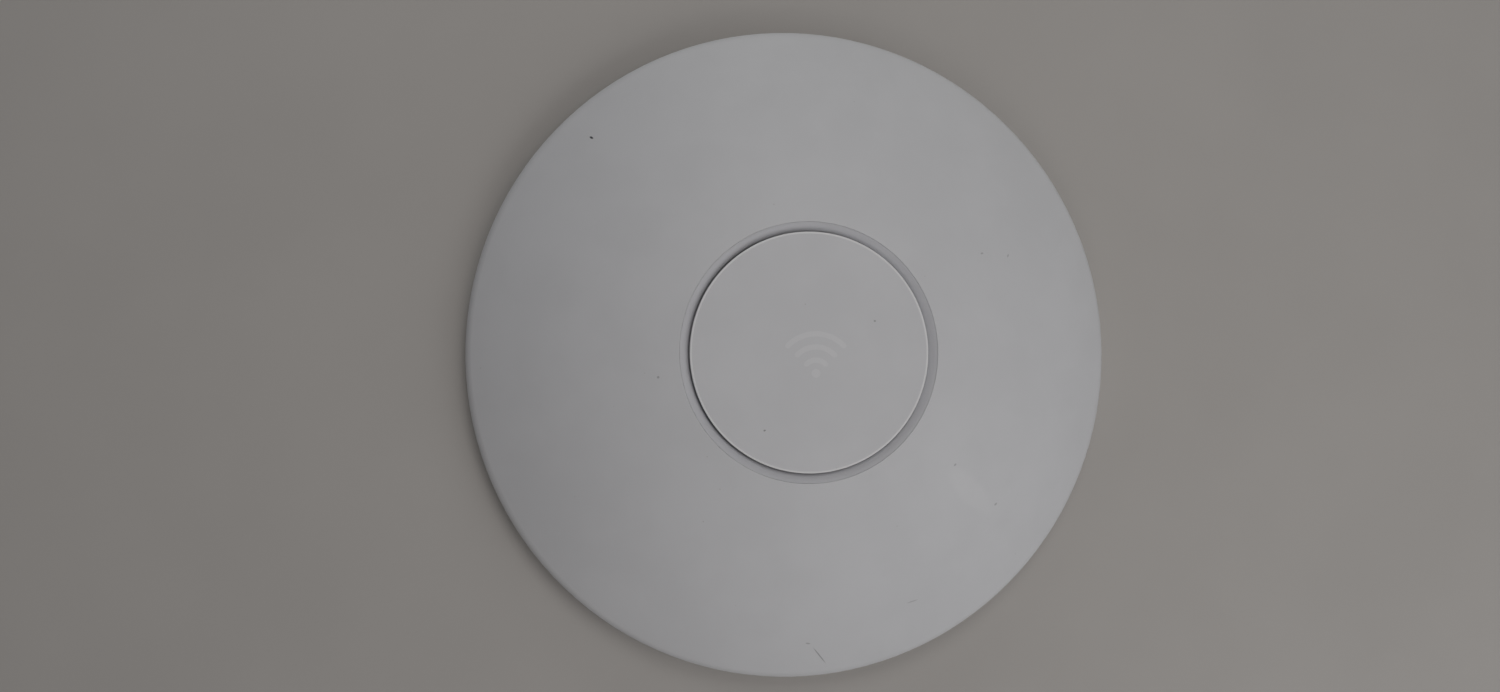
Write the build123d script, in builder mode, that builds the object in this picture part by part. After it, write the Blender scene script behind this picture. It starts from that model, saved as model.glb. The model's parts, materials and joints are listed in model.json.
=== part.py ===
from build123d import *
import os
from math import cos, degrees, pi, radians, sin, sqrt, tan

# Ceiling access point: a round dome that hangs from a twist-lock bracket.
# Millimetres. Origin at the middle of the bracket's back face, on the ceiling plane.
# +Z leaves the ceiling and runs to the crown of the dome; the Ethernet jack lies towards -Y.

# ---- dome cover ----
rim_radius = 98.5
rim_arc_radius = 4.5
dome_edge_radius = 37.0
dome_edge_height = 33.6
dome_edge_fillet = 0.15
dome_wall = 2.2
dome_start_slope = 10.4
dome_end_slope = 34.0
skirt_bottom = 2.4
skirt_inner_radius = 95.45
rib_radii = (54.0, 71.0, 88.0)
rib_depth = 2.6
rib_thickness = 1.2
rib_count = 12
post_circle_radius = 47.0
post_radius = 3.75
post_bore_radius = 1.3
post_bore_depth = 10.0

# ---- centre cap ----
crown_height = 35.0
cap_radius = 34.1
cap_edge_height = 34.0
cap_edge_thickness = 1.7
cap_edge_fillet = 0.2
skirt_radius = 30.2
skirt_wall = 1.8
skirt_foot = 27.6
bead_height = 28.8
bead_rise = 0.6
bead_half_height = 0.4
skirt_notch_count = 6
skirt_notch_width = 2.2
skirt_notch_height = 3.2

# ---- light ring, with the light pipes and LEDs under it ----
ring_outer_radius = 36.95
ring_inner_radius = 30.5
ring_bottom = 28.6
ring_flange_radius = 39.0
ring_flange_bottom = 27.4
ring_edge_height = 33.5
ring_seat_radius = 31.8
ring_floor_radius = 34.0
ring_floor_height = 30.5
ring_middle = (34.8, 32.3)
ring_groove_half_height = 0.7
pipe_circle_radius = 33.6
pipe_radius = 1.5
pipe_top = 29.4
pipe_gap = 0.5
led_width = 3.2
led_depth = 2.8
led_height = 0.8

# ---- ceiling bracket ----
bracket_radius = 52.0
bracket_thickness = 1.6
bracket_wall = 1.8
bracket_height = 5.0
bracket_rib_middle = 40.0
bracket_rib_length = 20.8
bracket_rib_width = 1.2
bracket_rib_height = 1.4
ear_radius = 55.2
ear_root_radius = 51.5
ear_bottom = 3.6
ear_half_angle = 6.0
hook_count = 4
first_hook_angle = 45.0
twist_travel = 15.0
stop_half_angle = 0.8
stop_gap_angle = 0.4
window_width = 26.0
window_low = -34.0
window_high = 20.0
window_corner = 5.0
screw_circle_radius = 38.0
mount_hole_radius = 2.1
mount_sink_radius = 4.0
mount_boss_radius = 5.2
mount_boss_height = 3.2
tongue_inner_radius = 47.5
tongue_half_angle = 12.0
tongue_slot = 0.8
nib_radius = 55.6
nib_angle = 9.0
nib_half_angle = 1.5
nib_height = 3.0

# ---- base housing ----
recess_radius = 56.0
recess_wall = 2.0
rear_height = 0.8
rear_ring_radius = 63.0
rear_arc_middle = (80.0, 1.25)
rear_arc_inner_middle = (79.0, 3.25)
floor_bottom = 5.4
floor_top = 7.2
base_radius = 95.1
base_wall = 2.0
lip_top = 7.0
tab_inner_radius = 52.6
tab_outer_radius = 56.5
tab_bottom = 1.9
tab_top = 3.3
tab_half_angle = 5.0
boss_foot = 2.0
board_boss_radius = 3.5
board_bore_radius = 1.3
board_bore_depth = 6.0
base_rib_count = 24
base_rib_middle = 91.5
base_rib_length = 4.0
base_rib_top = 6.0
nib_window_reach = 0.6
nib_window_margin = 0.8

# ---- port bay, open towards the ceiling ----
bay_half_width = 12.0
bay_low = -31.0
bay_high = 18.0
bay_roof = 25.9
bay_wall = 1.5
bay_roof_wall = 1.2
bay_corner = 2.0
jack_window_margin = 0.25
window_cut_margin = 0.5

# ---- main board ----
board_bottom = 11.0
board_thickness = 1.6
board_top = board_bottom + board_thickness
board_radius = 68.0
board_slot_gap = 0.7
board_slot_corner = 3.0
post_clearance = 0.6
board_screw_radius = 62.0
board_screw_angles = (30, 150, 270)
board_hole_radius = 1.4
spreader_hole_radius = 1.1

# ---- Ethernet jack ----
jack_front = -31.6
jack_length = 21.1
jack_half_width = 7.8
jack_height = 12.9
jack_sheet = 0.3
jack_gap = 0.1
plug_width = 11.9
plug_height = 6.9
plug_depth = 14.0
mouth_sill = 3.0
latch_step_half_widths = (3.1, 4.6)
latch_step_depths = (10.0, 12.0)
latch_step_height = 1.6
peg_points = [(-5.7, -43), (5.7, -43)]
peg_radius = 1.6
peg_hole_radius = 1.65
peg_reach = 0.6
contact_pitch = 1.02
contact_count = 8
contact_half_width = 0.2

# ---- reset switch ----
reset_x = 10.5
reset_z = board_top + 2.0
reset_hole_radius = 0.9
reset_stem_radius = 0.83
reset_stem_front = -33.4
reset_stem_length = 5.4
reset_stem_fillet = 0.3
switch_front = -37.0
switch_back = -41.6
switch_half_width = 2.2
switch_height = 3.6
switch_bore_depth = 2.6

# ---- antennas ----
antenna_angles = {"a": 90, "b": 210, "c": 330}
antenna_radius = 76.0
antenna_depth = 10.0
antenna_width = 30.0
antenna_base = 5.0
antenna_base_thickness = 1.6
antenna_top = 12.6
antenna_sheet = 0.4
antenna_length = 19.0
antenna_margin = 1.0
antenna_leg_width = 2.0
antenna_leg_offset = 8.2
antenna_screw_offset = 12.5
antenna_boss_radius = 3.0
antenna_bore_radius = 1.1
antenna_bore_depth = 2.6
carrier_hole_radius = 1.2
carrier_corner = 2.0
carrier_web_length = 18.0
carrier_web_width = 2.0
carrier_rib_offsets = (-6, 0, 6)
carrier_rib_width = 1.2
coax_radius = 0.6
coax_plug_middle = (53.5, -9.0)
coax_axis_height = 14.0

# ---- heat spreader ----
spreader_bottom = 7.4
spreader_thickness = 1.4
spreader_top = spreader_bottom + spreader_thickness
spreader_radius = 55.0
spreader_lip_width = 1.4
spreader_lip_height = 1.2
spreader_boss_radius = 3.0
spreader_bore_radius = 1.0
spreader_screw_points = [(-11.5, 27), (11.5, 27), (-22, -10), (22, -10)]

# ---- screws: head radius, head height, shank radius, shank length ----
housing_screw = (2.5, 1.2, 1.25, 9.5)
board_screw = (2.6, 1.5, 1.25, 6.5)
spreader_screw = (2.2, 1.3, 0.95, 3.6)
antenna_screw = (2.0, 1.2, 1.05, 3.8)
cross_arm_share = 1.1
cross_slot_share = 0.25


# ------------------------------------------------------------------ helpers
def save(builder, name):
    """Label a finished piece and write it as one STEP file."""
    builder.part.label = name
    export_step(builder.part, f"parts/{name}.step")


def sector(inner, outer, middle, half):
    """Ring segment in the open sketch, between two radii and either side of one angle."""
    with BuildLine() as outline:
        outer_arc = CenterArc((0, 0), outer, middle - half, 2 * half)
        inner_arc = CenterArc((0, 0), inner, middle - half, 2 * half)
        Line(outer_arc @ 0, inner_arc @ 0)
        Line(outer_arc @ 1, inner_arc @ 1)
    make_face(outline.edges())


def band(low, high, inner, outer, mode=Mode.ADD):
    """Plain ring between two heights and two radii, in the open part."""
    with BuildSketch(Plane.XY.offset(low)) as outline:
        Circle(outer)
        if inner > 0:
            Circle(inner, mode=Mode.SUBTRACT)
    extrude(outline.sketch, amount=high - low, mode=mode)


def slab(low, high, x_range, y_range, corner=0.0, mode=Mode.ADD):
    """Block between two heights over a rectangle, its upright edges rounded, in the open part."""
    middle = ((x_range[0] + x_range[1]) / 2, (y_range[0] + y_range[1]) / 2)
    width = x_range[1] - x_range[0]
    depth = y_range[1] - y_range[0]
    blocks(low, high, width, depth, [middle], corner, mode)


def discs(low, high, radius, points, mode=Mode.ADD):
    """Upright round pins or holes at a list of points, in the open part."""
    with BuildSketch(Plane.XY.offset(low)) as outline:
        with Locations(*points):
            Circle(radius)
    extrude(outline.sketch, amount=high - low, mode=mode)


def blocks(low, high, width, depth, points, corner=0.0, mode=Mode.ADD):
    """Equal rectangular blocks at a list of points, in the open part."""
    with BuildSketch(Plane.XY.offset(low)) as outline:
        with Locations(*points):
            if corner > 0:
                RectangleRounded(width, depth, corner)
            else:
                Rectangle(width, depth)
    extrude(outline.sketch, amount=high - low, mode=mode)


def polar_points(radius, angles):
    """Points on a circle about the axis, at angles in degrees."""
    return [(radius * cos(radians(a)), radius * sin(radians(a))) for a in angles]


def turned(point, angle):
    """A point turned about the axis by an angle in degrees."""
    x, y = point
    turn = radians(angle)
    return (x * cos(turn) - y * sin(turn), x * sin(turn) + y * cos(turn))


def screws_down(points, seat, sizes):
    """Pan head screws whose heads stand up from the seat and whose shanks run down."""
    head_radius, head_height, shank_radius, shank_length = sizes
    discs(seat, seat + head_height, head_radius, points)
    discs(seat - shank_length, seat, shank_radius, points)
    cut_cross(points, seat + head_height / 2, head_height, head_radius)


def screws_up(points, seat, sizes):
    """Pan head screws whose heads hang down from the seat and whose shanks run up."""
    head_radius, head_height, shank_radius, shank_length = sizes
    discs(seat - head_height, seat, head_radius, points)
    discs(seat, seat + shank_length, shank_radius, points)
    cut_cross(points, seat - 1.5 * head_height, head_height, head_radius)


def cut_cross(points, low, height, head_radius):
    """Cross recess half a head deep."""
    arm = head_radius * cross_arm_share
    slot = head_radius * cross_slot_share
    blocks(low, low + height, arm, slot, points, mode=Mode.SUBTRACT)
    blocks(low, low + height, slot, arm, points, mode=Mode.SUBTRACT)


def cord_radii(route):
    """The largest arc for each corner of a cord: 0.45 of the shorter run over tan(half turn)."""
    points = [Vector(*p) for p in route]
    radii = []
    for before, corner, after in zip(points, points[1:], points[2:]):
        run_in = corner - before
        run_out = after - corner
        half_turn = radians(run_in.get_angle(run_out)) / 2
        radii.append(0.45 * min(run_in.length, run_out.length) / tan(half_turn))
    return radii


hook_angles = [first_hook_angle + i * 360 / hook_count for i in range(hook_count)]
post_points = polar_points(post_circle_radius, hook_angles)
pipe_points = polar_points(pipe_circle_radius, hook_angles)
board_screw_points = polar_points(board_screw_radius, board_screw_angles)
mount_points = polar_points(screw_circle_radius, hook_angles)
antenna_screw_points = [
    turned((antenna_radius, side * antenna_screw_offset), angle)
    for angle in antenna_angles.values()
    for side in (-1, 1)
]
coax_plug_points = [turned(coax_plug_middle, angle) for angle in antenna_angles.values()]
jack_back = jack_front - jack_length
jack_top = board_top + jack_height
slot_half_width = bay_half_width + bay_wall + board_slot_gap
slot_x = (-slot_half_width, slot_half_width)
slot_y = (bay_low - bay_wall - board_slot_gap, bay_high + bay_wall + board_slot_gap)
os.makedirs("parts", exist_ok=True)

# Dome section: one long shallow arc from the middle opening, then a tight arc round the rim.
end_slope = radians(dome_end_slope)
start_slope = radians(dome_start_slope)
rim_join_radius = rim_radius - rim_arc_radius * (1 - sin(end_slope))
dome_arc_radius = (rim_join_radius - dome_edge_radius) / (sin(end_slope) - sin(start_slope))
dome_centre_r = dome_edge_radius - dome_arc_radius * sin(start_slope)
dome_centre_z = dome_edge_height - dome_arc_radius * cos(start_slope)
rim_centre_r = rim_radius - rim_arc_radius
rim_centre_z = dome_centre_z + (dome_arc_radius - rim_arc_radius) * cos(end_slope)


def dome_height(radius, inset=0.0):
    """Height of the dome's long arc at a radius, or of the surface a distance inside it."""
    arc = dome_arc_radius - inset
    return dome_centre_z + sqrt(arc**2 - (radius - dome_centre_r) ** 2)


# ------------------------------------------------------------------ ceiling bracket
lock_offset = tab_half_angle + stop_gap_angle + stop_half_angle
slot_angle = degrees(tongue_slot / bracket_radius)
tongue_slot_radius = tongue_inner_radius - tongue_slot
with BuildPart() as ceiling_bracket:
    band(0, bracket_thickness, 0, bracket_radius)
    band(bracket_thickness, bracket_height, bracket_radius - bracket_wall, bracket_radius)
    for angle in range(15, 375, 30):
        with BuildSketch(Plane.XY.offset(bracket_thickness).rotated((0, 0, angle))):
            with Locations((bracket_rib_middle, 0)):
                Rectangle(bracket_rib_length, bracket_rib_width)
        extrude(amount=bracket_rib_height)
    discs(bracket_thickness, mount_boss_height, mount_boss_radius, mount_points)
    slab(0, bracket_height, (-window_width / 2, window_width / 2), (window_low, window_high), window_corner,
         Mode.SUBTRACT)
    with BuildSketch(Plane.XY.offset(ear_bottom)):
        for angle in hook_angles:
            sector(ear_root_radius, ear_radius, angle, ear_half_angle)
    extrude(amount=bracket_height - ear_bottom)
    with BuildSketch(Plane.XY.offset(bracket_thickness)):
        for angle in hook_angles:
            sector(ear_root_radius, ear_radius, angle - lock_offset, stop_half_angle)
            sector(ear_root_radius, ear_radius, angle + twist_travel + lock_offset, stop_half_angle)
    extrude(amount=ear_bottom - bracket_thickness)
    with BuildSketch(Plane.XY.offset(bracket_thickness)):
        sector(ear_root_radius, nib_radius, nib_angle, nib_half_angle)
    extrude(amount=nib_height)
    with BuildSketch():
        sector(tongue_slot_radius, tongue_inner_radius, slot_angle / 2, tongue_half_angle + slot_angle / 2)
        sector(tongue_slot_radius, bracket_radius + 1, tongue_half_angle + slot_angle / 2, slot_angle / 2)
    extrude(amount=bracket_height, mode=Mode.SUBTRACT)
    with Locations(Plane.XY.offset(mount_boss_height)):
        with PolarLocations(screw_circle_radius, hook_count, first_hook_angle):
            CounterSinkHole(mount_hole_radius, mount_sink_radius, counter_sink_angle=90)
save(ceiling_bracket, "ceiling_bracket")

# ------------------------------------------------------------------ base housing
with BuildPart() as base_housing:
    with BuildSketch(Plane.XZ):
        with BuildLine():
            lip_inner_radius = base_radius - base_wall
            recess_outer_radius = recess_radius + recess_wall
            inner_height = rear_height + base_wall
            Polyline((0, floor_bottom), (recess_radius, floor_bottom), (recess_radius, rear_height),
                     (rear_ring_radius, rear_height))
            ThreePointArc((rear_ring_radius, rear_height), rear_arc_middle, (base_radius, skirt_bottom))
            Polyline((base_radius, skirt_bottom), (base_radius, lip_top), (lip_inner_radius, lip_top),
                     (lip_inner_radius, skirt_bottom + base_wall))
            ThreePointArc((lip_inner_radius, skirt_bottom + base_wall), rear_arc_inner_middle,
                          (rear_ring_radius, inner_height))
            Polyline((rear_ring_radius, inner_height), (recess_outer_radius, inner_height),
                     (recess_outer_radius, floor_top), (0, floor_top), (0, floor_bottom))
        make_face()
    revolve(axis=Axis.Z)
    slab(floor_bottom, bay_roof + bay_roof_wall,
         (-bay_half_width - bay_wall, bay_half_width + bay_wall), (bay_low - bay_wall, bay_high + bay_wall),
         bay_corner + bay_wall)
    slab(floor_bottom, bay_roof, (-bay_half_width, bay_half_width), (bay_low, bay_high), bay_corner,
         Mode.SUBTRACT)
    with BuildSketch(Plane.XY.offset(tab_bottom)):
        for angle in hook_angles:
            sector(tab_inner_radius, tab_outer_radius, angle, tab_half_angle)
    extrude(amount=tab_top - tab_bottom)
    discs(boss_foot, board_bottom, board_boss_radius, board_screw_points)
    discs(boss_foot, antenna_base, antenna_boss_radius, antenna_screw_points)
    for index in range(base_rib_count):
        rib_angle = (index + 0.5) * 360 / base_rib_count
        with BuildSketch(Plane.XY.offset(boss_foot).rotated((0, 0, rib_angle))):
            with Locations((base_rib_middle, 0)):
                Rectangle(base_rib_length, rib_thickness)
        extrude(amount=base_rib_top - boss_foot)
    with BuildSketch(Plane.XZ.offset(-bay_low - window_cut_margin)):
        with Locations((0, (board_top + jack_top) / 2)):
            Rectangle(2 * (jack_half_width + jack_window_margin), jack_height + 0.4)
        with Locations((reset_x, reset_z)):
            Circle(reset_hole_radius)
    extrude(amount=bay_wall + 2 * window_cut_margin, mode=Mode.SUBTRACT)
    discs(0, floor_top + 0.1, board_hole_radius, post_points, Mode.SUBTRACT)
    discs(board_bottom - board_bore_depth, board_bottom, board_bore_radius, board_screw_points,
          Mode.SUBTRACT)
    discs(antenna_base - antenna_bore_depth, antenna_base, antenna_bore_radius, antenna_screw_points,
          Mode.SUBTRACT)
    with BuildSketch(Plane.XY.offset(rear_height)):
        sector(recess_radius - 1, recess_radius + nib_window_reach, nib_angle,
               nib_half_angle + nib_window_margin)
    extrude(amount=bracket_height - rear_height, mode=Mode.SUBTRACT)
save(base_housing, "base_housing")

# ------------------------------------------------------------------ dome cover
with BuildPart() as dome_cover:
    with BuildSketch(Plane.XZ):
        with BuildLine():
            opening_edge = (dome_edge_radius, dome_edge_height)
            dome_middle_radius = (dome_edge_radius + rim_join_radius) / 2
            rim_join = (rim_join_radius, dome_height(rim_join_radius))
            rim_widest = (rim_radius, rim_centre_z)
            under_radius = rim_centre_r + sqrt(rim_arc_radius**2 - (skirt_bottom - rim_centre_z) ** 2)
            inner_arc_radius = rim_arc_radius - dome_wall
            skirt_top = rim_centre_z - sqrt(inner_arc_radius**2 - (skirt_inner_radius - rim_centre_r) ** 2)
            rim_join_inside = (rim_join_radius - dome_wall * sin(end_slope),
                               rim_join[1] - dome_wall * cos(end_slope))
            collar_radius = ring_flange_radius
            collar_top = dome_height(collar_radius, dome_wall)
            inside_middle_radius = (rim_join_inside[0] + collar_radius) / 2
            inside_middle = (inside_middle_radius, dome_height(inside_middle_radius, dome_wall))
            ThreePointArc(opening_edge, (dome_middle_radius, dome_height(dome_middle_radius)), rim_join)
            ThreePointArc(rim_join, rim_widest, (under_radius, skirt_bottom))
            Polyline((under_radius, skirt_bottom), (skirt_inner_radius, skirt_bottom),
                     (skirt_inner_radius, skirt_top))
            ThreePointArc((skirt_inner_radius, skirt_top), (rim_radius - dome_wall, rim_centre_z),
                          rim_join_inside)
            ThreePointArc(rim_join_inside, inside_middle, (collar_radius, collar_top))
            Polyline((collar_radius, collar_top), (collar_radius, ring_bottom),
                     (dome_edge_radius, ring_bottom), opening_edge)
        make_face()
    revolve(axis=Axis.Z)
    top_edge = dome_cover.edges().filter_by(GeomType.CIRCLE).sort_by(Axis.Z)[-1]
    fillet(top_edge, dome_edge_fillet)
    discs(floor_top, dome_height(post_circle_radius, dome_wall / 2), post_radius, post_points)
    for index in range(rib_count):
        rib_plane = Plane.XZ.rotated((0, 0, (index + 0.5) * 360 / rib_count))
        with BuildSketch(rib_plane):
            with BuildLine():
                rib_top = [(r, dome_height(r, dome_wall / 2)) for r in rib_radii]
                rib_foot = [(r, z - rib_depth) for r, z in rib_top]
                ThreePointArc(*rib_top)
                ThreePointArc(*rib_foot)
                Line(rib_top[0], rib_foot[0])
                Line(rib_top[-1], rib_foot[-1])
            make_face()
        extrude(amount=rib_thickness / 2, both=True)
    discs(floor_top, floor_top + post_bore_depth, post_bore_radius, post_points, Mode.SUBTRACT)
save(dome_cover, "dome_cover")

# ------------------------------------------------------------------ centre cap
cap_bottom = cap_edge_height - cap_edge_thickness
crown_rise = crown_height - cap_edge_height
crown_arc = (cap_radius**2 + crown_rise**2) / (2 * crown_rise)
half_way_height = crown_height - crown_arc + sqrt(crown_arc**2 - cap_radius**2 / 4)
with BuildPart() as centre_cap:
    with BuildSketch(Plane.XZ):
        with BuildLine():
            cap_edge = (cap_radius, cap_edge_height)
            ThreePointArc((0, crown_height), (cap_radius / 2, half_way_height), cap_edge)
            Polyline(cap_edge, (cap_radius, cap_bottom), (skirt_radius, cap_bottom),
                     (skirt_radius, bead_height + bead_half_height),
                     (skirt_radius + bead_rise, bead_height),
                     (skirt_radius, bead_height - bead_half_height), (skirt_radius, skirt_foot),
                     (skirt_radius - skirt_wall, skirt_foot), (skirt_radius - skirt_wall, cap_bottom),
                     (0, cap_bottom), (0, crown_height))
        make_face()
    revolve(axis=Axis.Z)
    at_edge_height = (cap_edge_height - 0.01, cap_edge_height + 0.01)
    fillet(centre_cap.edges().filter_by_position(Axis.Z, *at_edge_height), cap_edge_fillet)
    with BuildSketch(Plane.XY.offset(skirt_foot)):
        with PolarLocations(skirt_radius - skirt_wall / 2, skirt_notch_count, 30):
            Rectangle(2 * skirt_wall + 0.4, skirt_notch_width)
    extrude(amount=skirt_notch_height, mode=Mode.SUBTRACT)
save(centre_cap, "centre_cap")

# ------------------------------------------------------------------ light ring and its light pipes
with BuildPart() as light_ring:
    with BuildSketch(Plane.XZ):
        with BuildLine():
            Polyline((ring_inner_radius, ring_flange_bottom),
                     (ring_inner_radius, bead_height - ring_groove_half_height),
                     (ring_inner_radius + bead_rise, bead_height),
                     (ring_inner_radius, bead_height + ring_groove_half_height),
                     (ring_inner_radius, cap_bottom), (ring_seat_radius, cap_bottom),
                     (ring_seat_radius, ring_floor_height), (ring_floor_radius, ring_floor_height))
            ring_edge = (ring_outer_radius, ring_edge_height)
            ThreePointArc((ring_floor_radius, ring_floor_height), ring_middle, ring_edge)
            Polyline(ring_edge, (ring_outer_radius, ring_bottom),
                     (ring_flange_radius, ring_bottom), (ring_flange_radius, ring_flange_bottom),
                     (ring_inner_radius, ring_flange_bottom))
        make_face()
    revolve(axis=Axis.Z)
    discs(ring_flange_bottom, pipe_top, pipe_radius, pipe_points, Mode.SUBTRACT)
save(light_ring, "light_ring")

with BuildPart() as light_pipes:
    discs(board_top + led_height + pipe_gap, pipe_top, pipe_radius, pipe_points)
save(light_pipes, "light_pipes")

with BuildPart() as status_leds:
    blocks(board_top, board_top + led_height, led_width, led_depth, pipe_points, 0.3)
save(status_leds, "status_leds")

# ------------------------------------------------------------------ screws
with BuildPart() as housing_screws:
    screws_up(post_points, floor_bottom, housing_screw)
save(housing_screws, "housing_screws")

with BuildPart() as board_screws:
    screws_down(board_screw_points, board_top, board_screw)
save(board_screws, "board_screws")

with BuildPart() as heat_spreader_screws:
    screws_down(spreader_screw_points, board_top, spreader_screw)
save(heat_spreader_screws, "heat_spreader_screws")

with BuildPart() as antenna_screws:
    screws_down(antenna_screw_points, antenna_base + antenna_base_thickness, antenna_screw)
save(antenna_screws, "antenna_screws")

# ------------------------------------------------------------------ blank label on the recess floor
label_thickness = 0.2
label_corner = 1.5
label_x = (-19, 19)
label_y = (27, 43)
with BuildPart() as rating_label:
    slab(floor_bottom - label_thickness, floor_bottom, label_x, label_y, label_corner)
save(rating_label, "rating_label")

# ------------------------------------------------------------------ main board
with BuildPart() as main_board:
    band(board_bottom, board_top, 0, board_radius)
    slab(board_bottom, board_top, slot_x, slot_y, board_slot_corner, Mode.SUBTRACT)
    discs(board_bottom, board_top, post_radius + post_clearance, post_points, Mode.SUBTRACT)
    discs(board_bottom, board_top, board_hole_radius, board_screw_points, Mode.SUBTRACT)
    discs(board_bottom, board_top, spreader_hole_radius, spreader_screw_points, Mode.SUBTRACT)
    discs(board_bottom, board_top, peg_hole_radius, peg_points, Mode.SUBTRACT)
save(main_board, "main_board")

# ------------------------------------------------------------------ heat spreader
jack_relief_x = (-10, 10)
jack_relief_y = (-60, slot_y[0] - 1.5)
with BuildPart() as heat_spreader:
    band(spreader_bottom, spreader_top, 0, spreader_radius)
    band(spreader_top, spreader_top + spreader_lip_height, spreader_radius - spreader_lip_width,
         spreader_radius)
    discs(spreader_bottom, board_bottom, spreader_boss_radius, spreader_screw_points)
    slab(spreader_bottom, board_bottom, slot_x, slot_y, board_slot_corner, Mode.SUBTRACT)
    discs(spreader_bottom, board_bottom, post_radius + post_clearance, post_points, Mode.SUBTRACT)
    discs(spreader_bottom, board_bottom, spreader_bore_radius, spreader_screw_points, Mode.SUBTRACT)
    slab(spreader_bottom, board_bottom, jack_relief_x, jack_relief_y, 1.0, Mode.SUBTRACT)
save(heat_spreader, "heat_spreader")

# ------------------------------------------------------------------ processor, pad and memory, below
processor_size = 17.0
processor_thickness = 1.3
pad_size = 15.0
processor_middle = (0, 42)
memory_sizes = {(-16, 41): (9.0, 13.0, 1.1), (16, 42): (6.0, 8.0, 0.9)}
processor_face = board_bottom - processor_thickness
with BuildPart() as processor:
    blocks(processor_face, board_bottom, processor_size, processor_size, [processor_middle], 0.6)
save(processor, "processor")

with BuildPart() as thermal_pad:
    blocks(spreader_top, processor_face, pad_size, pad_size, [processor_middle], 0.8)
save(thermal_pad, "thermal_pad")

with BuildPart() as memory_chips:
    for middle, (width, depth, thickness) in memory_sizes.items():
        blocks(board_bottom - thickness, board_bottom, width, depth, [middle], 0.4)
save(memory_chips, "memory_chips")

# ------------------------------------------------------------------ radio sections, on the upper face
shield_middles = [(-43, 6), (43, 6)]
shield_width = 34.0
shield_depth = 28.0
shield_height = 3.0
shield_sheet = 0.3
shield_foot = 0.4
frame_wall = 0.6
frame_bridge_width = 1.4
lid_clearance = 0.2
lid_hole_radius = 0.6
lid_hole_pitch = 4.0
frame_top = board_top + shield_height - shield_foot
frame_inner_width = shield_width - 2 * frame_wall
frame_inner_depth = shield_depth - 2 * frame_wall
with BuildPart() as shield_frames:
    blocks(board_top, frame_top, shield_width, shield_depth, shield_middles, 1.0)
    blocks(board_top, frame_top, frame_inner_width, frame_inner_depth, shield_middles, 0.6, Mode.SUBTRACT)
    blocks(frame_top - shield_sheet, frame_top, shield_width - frame_wall, frame_bridge_width,
           shield_middles)
save(shield_frames, "shield_frames")

inner_lid_width = shield_width + lid_clearance
inner_lid_depth = shield_depth + lid_clearance
lid_foot = board_top + shield_foot
lid_top = board_top + shield_height
with BuildPart() as shield_lids:
    blocks(lid_foot, lid_top, inner_lid_width + 2 * shield_sheet, inner_lid_depth + 2 * shield_sheet,
           shield_middles, 1.2)
    blocks(lid_foot, lid_top - shield_sheet, inner_lid_width, inner_lid_depth, shield_middles, 1.0,
           Mode.SUBTRACT)
    with BuildSketch(Plane.XY.offset(lid_top - shield_sheet)):
        with Locations(*shield_middles):
            with GridLocations(lid_hole_pitch, lid_hole_pitch, 7, 5):
                Circle(lid_hole_radius)
    extrude(amount=shield_sheet, mode=Mode.SUBTRACT)
save(shield_lids, "shield_lids")

chip_height = 0.9
radio_chip_size = 10.0
radio_chip_middles = [(-42, 10), (42, 10)]
with BuildPart() as radio_chips:
    blocks(board_top, board_top + chip_height, radio_chip_size, radio_chip_size, radio_chip_middles, 0.3)
save(radio_chips, "radio_chips")

front_end_size = 3.4
front_end_height = 0.8
front_end_points = [(side * x, y) for side in (-1, 1) for x, y in ((54, 12), (54, 0), (46, -3))]
with BuildPart() as front_end_chips:
    blocks(board_top, board_top + front_end_height, front_end_size, front_end_size, front_end_points, 0.2)
save(front_end_chips, "front_end_chips")

crystal_width = 3.2
crystal_depth = 2.5
crystal_height = 0.7
crystal_middles = [(-32, 0), (32, 0)]
with BuildPart() as crystals:
    blocks(board_top, board_top + crystal_height, crystal_width, crystal_depth, crystal_middles, 0.3)
save(crystals, "crystals")

# ------------------------------------------------------------------ Ethernet jack
body_inset = jack_sheet + jack_gap
body_half = jack_half_width - body_inset
body_front = jack_front - body_inset
body_back = jack_back + body_inset
body_top = jack_top - body_inset
mouth_low = board_top + mouth_sill
mouth_high = mouth_low + plug_height
with BuildPart() as jack_body:
    slab(board_top, body_top, (-body_half, body_half), (body_back, body_front))
    slab(mouth_low, mouth_high, (-plug_width / 2, plug_width / 2), (body_front - plug_depth, body_front),
         mode=Mode.SUBTRACT)
    step_bottoms = (mouth_low - latch_step_height, mouth_high)
    for half_width, depth, low in zip(latch_step_half_widths, latch_step_depths, step_bottoms):
        slab(low, low + latch_step_height, (-half_width, half_width), (body_front - depth, body_front),
             mode=Mode.SUBTRACT)
    discs(board_bottom - peg_reach, board_top, peg_radius, peg_points)
save(jack_body, "jack_body")

shield_inside_half = jack_half_width - jack_sheet
mouth_frame_half = plug_width / 2 + 0.2
with BuildPart() as jack_shield:
    slab(board_top, jack_top, (-jack_half_width, jack_half_width), (jack_back, jack_front))
    slab(board_top, jack_top - jack_sheet, (-shield_inside_half, shield_inside_half),
         (jack_back + jack_sheet, jack_front - jack_sheet), mode=Mode.SUBTRACT)
    slab(mouth_low - 2.0, mouth_high + 2.0, (-mouth_frame_half, mouth_frame_half),
         (jack_front - jack_sheet, jack_front), mode=Mode.SUBTRACT)
save(jack_shield, "jack_shield")

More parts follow.
